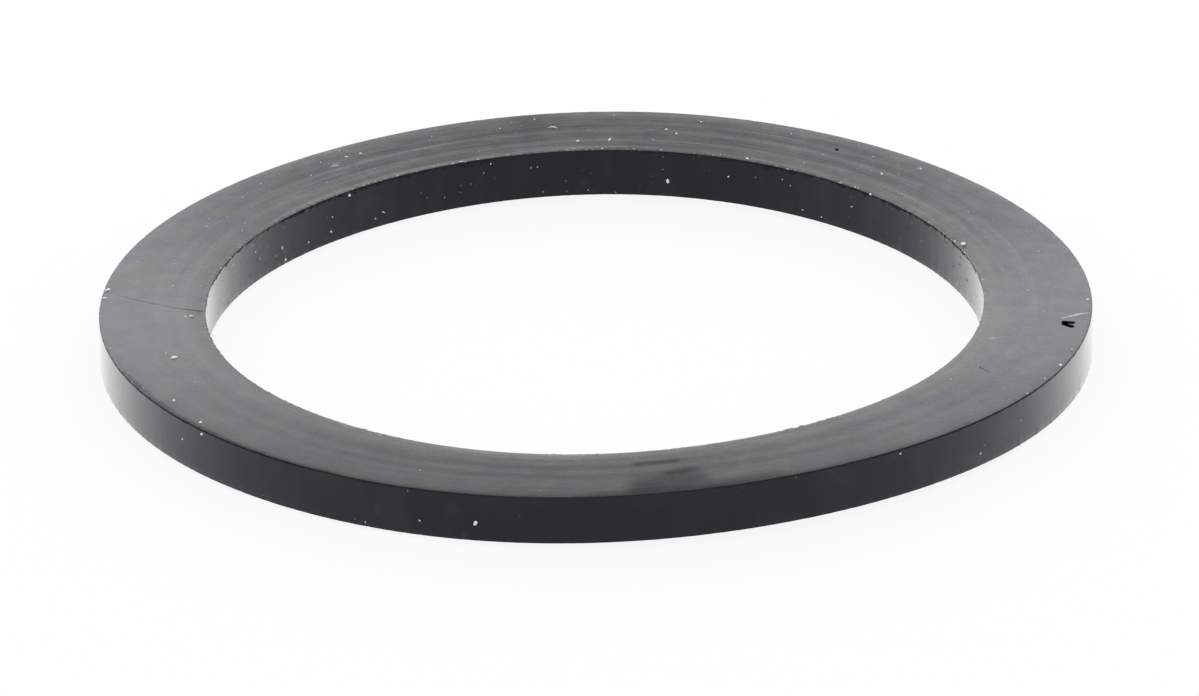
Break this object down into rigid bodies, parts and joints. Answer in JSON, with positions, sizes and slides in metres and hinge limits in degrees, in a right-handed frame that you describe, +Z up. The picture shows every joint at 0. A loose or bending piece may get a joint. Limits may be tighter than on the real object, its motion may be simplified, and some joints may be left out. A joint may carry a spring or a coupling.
{
  "type": "flat gasket",
  "caption": "Flat ring gasket: a slice of black rubber tube with a square section, knife-cut faces, smooth walls and one round hole.",
  "frame": {"origin": "centre of the lower face, on the axis of the hole", "axes": "+Z up along the axis of the hole, out of the upper face; X and Y lie in the lower face"},
  "size_m": [0.0635, 0.0634, 0.0032],
  "materials": {
    "rubber": "cut faces dusty and satin with fine concentric tool marks, inner and outer walls smooth and semi-gloss black"
  },
  "bodies": {
    "root": {"gasket": "rubber"}
  },
  "joints": []
}
